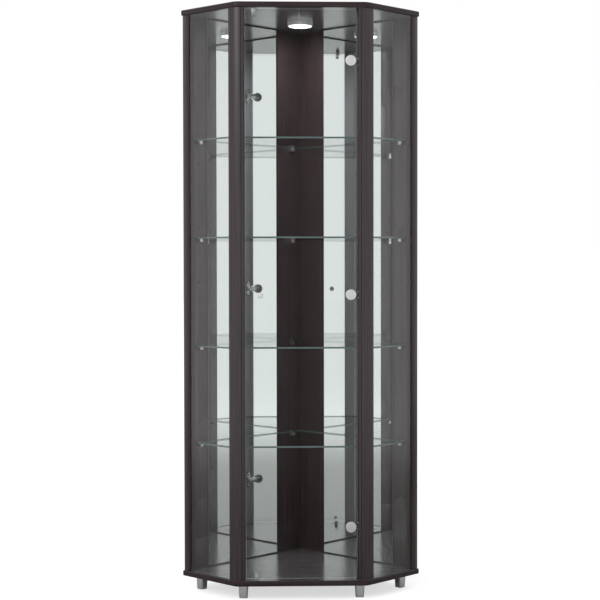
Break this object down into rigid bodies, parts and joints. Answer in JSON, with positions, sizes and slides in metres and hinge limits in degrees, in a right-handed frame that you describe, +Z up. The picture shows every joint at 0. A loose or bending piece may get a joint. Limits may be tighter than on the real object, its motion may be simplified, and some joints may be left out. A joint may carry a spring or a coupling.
{
  "type": "corner curio cabinet",
  "caption": "Tall corner display cabinet with canted glass sides, a frameless hinged glass door, glass shelves, a mirrored back and a lamp, on short tapered feet.",
  "frame": {"origin": "centre of the bounding box at floor level, under the feet", "axes": "+Z up; +Y from the door to the room corner that the cabinet stands in; +X to the right seen from the front"},
  "size_m": [0.7006, 0.5318, 1.708],
  "materials": {
    "wenge": "dark wenge melamine, satin, fine straight grain",
    "mirror": "silvered back mirror with polished edges",
    "clear_glass": "clear toughened float glass, green at the edge",
    "shelf_glass": "clear float glass with polished green edges",
    "satin_metal": "satin silver plating",
    "nickel": "bright nickel plating",
    "zinc": "bright zinc",
    "screw_steel": "zinc-plated steel",
    "magnet": "bare ferrite and steel pole plates",
    "grey_plastic": "light grey moulded plastic",
    "lens_plastic": "frosted white plastic",
    "glide_plastic": "black pad"
  },
  "bodies": {
    "case": {"back_board_left": "wenge", "back_board_right": "wenge", "back_board_screws": "screw_steel", "bottom_panel": "wenge", "bottom_panel_screws": "screw_steel", "catch_bottom": "grey_plastic", "catch_magnets": "magnet", "catch_screws": "screw_steel", "catch_top": "grey_plastic", "foot_back": "satin_metal", "foot_bolts": "screw_steel", "foot_front_left": "satin_metal", "foot_front_right": "satin_metal", "foot_glides": "glide_plastic", "foot_side_left": "satin_metal", "foot_side_right": "satin_metal", "front_post_left": "wenge", "front_post_right": "wenge", "hinge_arms": "nickel", "hinge_plate_bottom": "nickel", "hinge_plate_middle": "nickel", "hinge_plate_top": "nickel", "hinge_screws": "screw_steel", "lamp_board": "lens_plastic", "lamp_housing": "satin_metal", "lamp_lens": "lens_plastic", "lamp_screws": "screw_steel", "mirror_left": "mirror", "mirror_right": "mirror", "shelf_1": "shelf_glass", "shelf_2": "shelf_glass", "shelf_3": "shelf_glass", "shelf_4": "shelf_glass", "shelf_pins_1": "zinc", "shelf_pins_2": "zinc", "shelf_pins_3": "zinc", "shelf_pins_4": "zinc", "side_glass_left": "clear_glass", "side_glass_right": "clear_glass", "top_panel": "wenge", "top_panel_screws": "screw_steel", "wall_post_left": "wenge", "wall_post_right": "wenge"},
    "door": {"door_glass": "clear_glass", "door_knob": "satin_metal", "knob_screw": "screw_steel", "hinge_pins": "screw_steel", "strike_clip_top": "nickel", "strike_clip_bottom": "nickel", "hinge_caps": "satin_metal", "hinge_cups": "nickel"}
  },
  "joints": [
    {"name": "door_swing", "type": "hinge", "parent": "case", "child": "door", "pos_m": [0.148, -0.23389, 0.8755], "axis": [0, 0, 1], "range_deg": [0, 95]}
  ]
}
